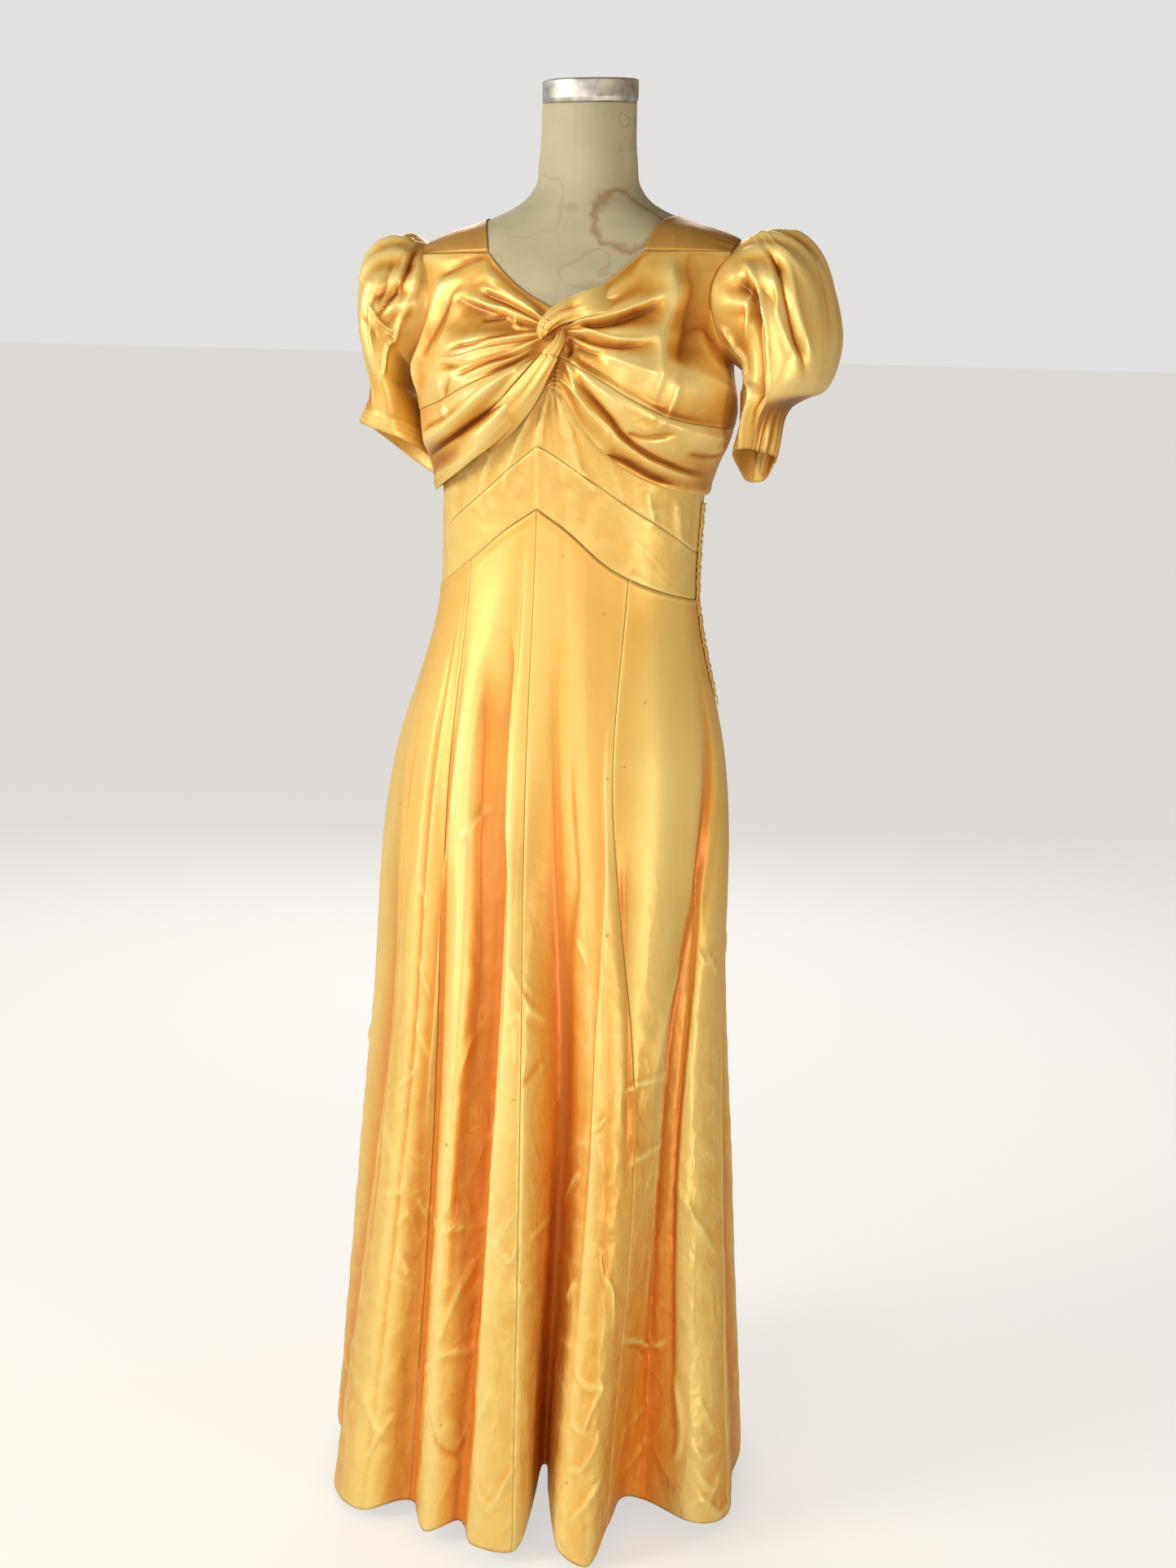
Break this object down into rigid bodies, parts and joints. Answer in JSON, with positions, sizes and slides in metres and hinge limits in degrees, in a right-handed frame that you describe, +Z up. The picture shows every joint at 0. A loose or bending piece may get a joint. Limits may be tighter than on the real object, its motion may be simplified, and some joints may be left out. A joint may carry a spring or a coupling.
{
  "type": "evening gown on a dress form with a stand",
  "caption": "Full-length satin evening gown with puff sleeves, a twisted bodice and a fluted skirt, worn by a limbless dress form on a stand.",
  "frame": {"origin": "on the floor under the middle of the stand's foot", "axes": "+Z up; the gown's front faces -Y and the wearer's left is +X"},
  "size_m": [0.549, 0.5147, 1.5969],
  "materials": {
    "gold_satin": "glossy satin weave",
    "bright_gold_satin": "glossy satin weave",
    "deep_gold_satin": "glossy satin weave, seen across the grain",
    "sized_canvas": "matt sized canvas over a hard shell",
    "brushed_tin": "worn brushed tin",
    "painted_iron": "black paint"
  },
  "bodies": {
    "root": {"bodice_back": "gold_satin", "bodice_front_left": "gold_satin", "bodice_front_right": "gold_satin", "drape_left": "gold_satin", "drape_right": "gold_satin", "midriff_band": "bright_gold_satin", "midriff_upper": "bright_gold_satin", "placket": "bright_gold_satin", "skirt_back_left": "gold_satin", "skirt_back_right": "gold_satin", "skirt_front_left": "gold_satin", "skirt_front_right": "gold_satin", "skirt_side_front_left": "gold_satin", "skirt_side_front_right": "gold_satin", "sleeve_left": "gold_satin", "sleeve_right": "gold_satin", "twist_band": "deep_gold_satin", "twist_loop": "deep_gold_satin", "yoke_left": "deep_gold_satin", "yoke_right": "deep_gold_satin", "form_torso": "sized_canvas", "form_neck_cap": "brushed_tin", "stand_pole": "painted_iron", "stand_foot": "painted_iron"}
  },
  "joints": []
}
